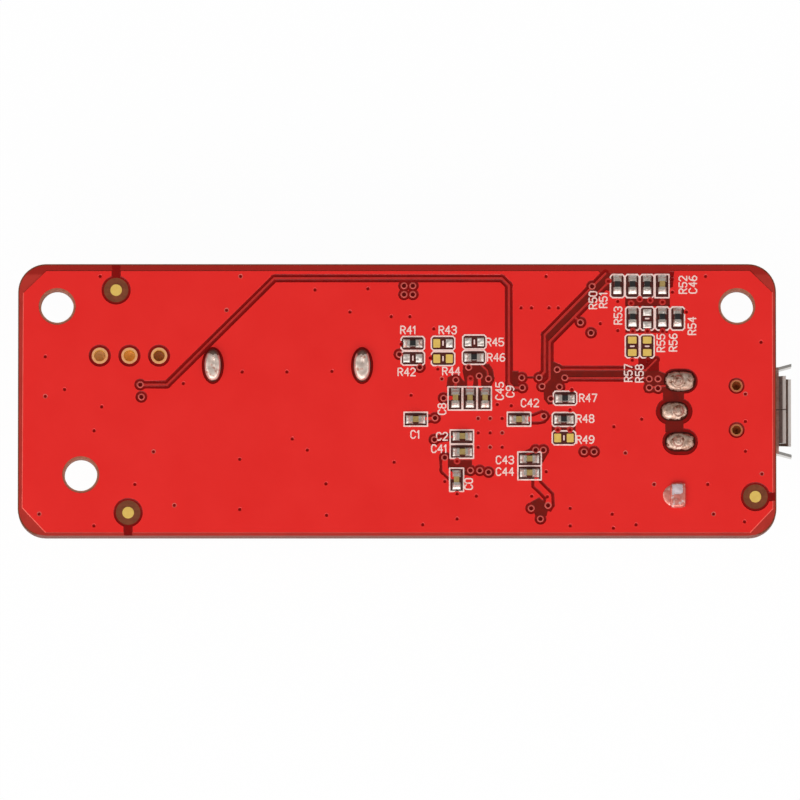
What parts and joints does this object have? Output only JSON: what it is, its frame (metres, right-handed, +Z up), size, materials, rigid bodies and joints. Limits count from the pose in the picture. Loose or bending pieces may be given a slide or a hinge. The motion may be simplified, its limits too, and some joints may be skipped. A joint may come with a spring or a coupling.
{
  "type": "usb interface card",
  "caption": "Small red circuit card with a micro-USB inlet, a USB-A receptacle, a pin header, a controller and chip parts on both faces.",
  "frame": {"origin": "under the middle of the whole card, at the height of the lowest point that it lies on (the header's pin tips)", "axes": "+X along the card towards the micro-USB end, +Y towards the long edge where the USB-A receptacle opens, +Z up out of the solder face"},
  "size_m": [0.0664, 0.0234, 0.0109],
  "materials": {
    "board_laminate": "satin red solder mask over glass-epoxy laminate, bare brown at its edges",
    "solder_mask": "glossy red solder mask",
    "silk_ink": "printed white lines, slightly pink",
    "gold_plating": "thin gold plating on bare copper",
    "solder_tin": "solder, bright with dull patches",
    "shell_steel": "tin-plated steel sheet",
    "receptacle_white": "moulded plastic, off-white",
    "receptacle_black": "moulded plastic, black",
    "contact_gold": "gold-plated contact",
    "header_plastic": "moulded plastic, black",
    "pin_gold": "gold-plated square pin",
    "lug_tin": "tinned strip",
    "chip_resistor": "black glaze on ceramic with tinned ends",
    "chip_capacitor": "tan ceramic with tinned ends",
    "package_black": "moulded epoxy, black, with tinned leads",
    "crystal_can": "metal lid on a ceramic base",
    "ferrite": "grey ferrite with a wound core",
    "tantalum_case": "moulded epoxy, yellow, with tinned ends",
    "fuse_body": "green laminate with tinned ends",
    "led_body": "clear resin on a pale base"
  },
  "bodies": {
    "root": {"board": "board_laminate", "capacitor_1": "chip_capacitor", "capacitor_10": "chip_capacitor", "capacitor_11": "chip_capacitor", "capacitor_12": "chip_capacitor", "capacitor_13": "chip_capacitor", "capacitor_14": "chip_capacitor", "capacitor_15": "chip_capacitor", "capacitor_2": "chip_capacitor", "capacitor_3": "chip_capacitor", "capacitor_4": "chip_capacitor", "capacitor_5": "chip_capacitor", "capacitor_6": "chip_capacitor", "capacitor_7": "chip_capacitor", "capacitor_8": "chip_capacitor", "capacitor_9": "chip_capacitor", "controller": "package_black", "crystal": "crystal_can", "fuse": "fuse_body", "ground_lug": "lug_tin", "header_base": "header_plastic", "header_pin_1": "pin_gold", "header_pin_2": "pin_gold", "header_pin_3": "pin_gold", "inductor": "ferrite", "led": "led_body", "micro_usb_contact_1": "contact_gold", "micro_usb_contact_2": "contact_gold", "micro_usb_contact_3": "contact_gold", "micro_usb_contact_4": "contact_gold", "micro_usb_contact_5": "contact_gold", "micro_usb_insulator": "receptacle_black", "micro_usb_shell": "shell_steel", "regulator": "package_black", "resistor_1": "chip_resistor", "resistor_10": "chip_resistor", "resistor_11": "chip_resistor", "resistor_12": "chip_resistor", "resistor_2": "chip_resistor", "resistor_3": "chip_resistor", "resistor_4": "chip_resistor", "resistor_5": "chip_resistor", "resistor_6": "chip_resistor", "resistor_7": "chip_resistor", "resistor_8": "chip_resistor", "resistor_9": "chip_resistor", "solder_joints": "solder_tin", "tantalum_1": "tantalum_case", "tantalum_2": "tantalum_case", "usb_a_contact_1": "contact_gold", "usb_a_contact_2": "contact_gold", "usb_a_contact_3": "contact_gold", "usb_a_contact_4": "contact_gold", "usb_a_insulator": "receptacle_white", "usb_a_shell": "shell_steel"}
  },
  "joints": []
}
